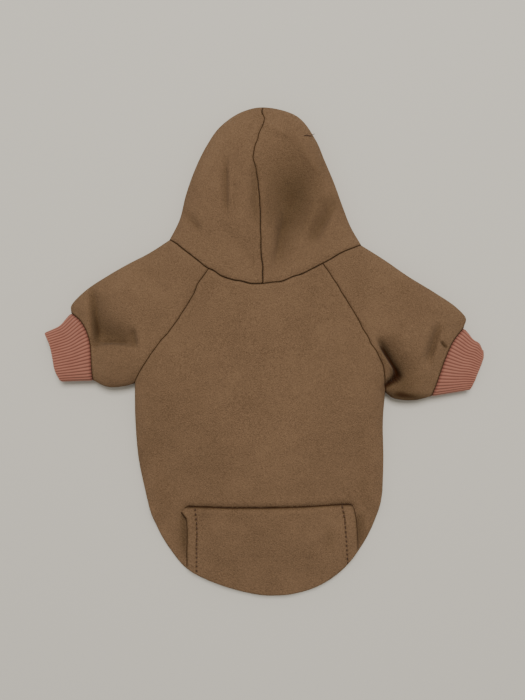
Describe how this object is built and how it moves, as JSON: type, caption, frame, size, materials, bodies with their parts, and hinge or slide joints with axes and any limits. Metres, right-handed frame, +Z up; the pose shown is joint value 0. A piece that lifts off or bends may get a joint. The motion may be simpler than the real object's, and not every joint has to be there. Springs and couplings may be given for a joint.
{
  "type": "dog sweatshirt",
  "caption": "Hooded fleece sweatshirt for a small dog, lying flat with its back up, with raglan sleeves, ribbed cuffs and a patch pocket on the tail.",
  "frame": {"origin": "centre of the garment's outline from above, at the level of the surface that it lies on", "axes": "+Z up from the surface, +Y from the tail hem to the crown of the hood, +X to the right as seen from above with the hood at the top"},
  "size_m": [0.3518, 0.396, 0.0233],
  "materials": {
    "fleece": "soft matt brown sweatshirt jersey",
    "rib_knit": "ribbed reddish brown knit"
  },
  "bodies": {
    "root": {"back_panel": "fleece", "chest_panel": "fleece", "left_sleeve": "fleece", "right_sleeve": "fleece", "left_cuff": "rib_knit", "right_cuff": "rib_knit", "hood_left": "fleece", "hood_right": "fleece", "pocket": "fleece"}
  },
  "joints": []
}
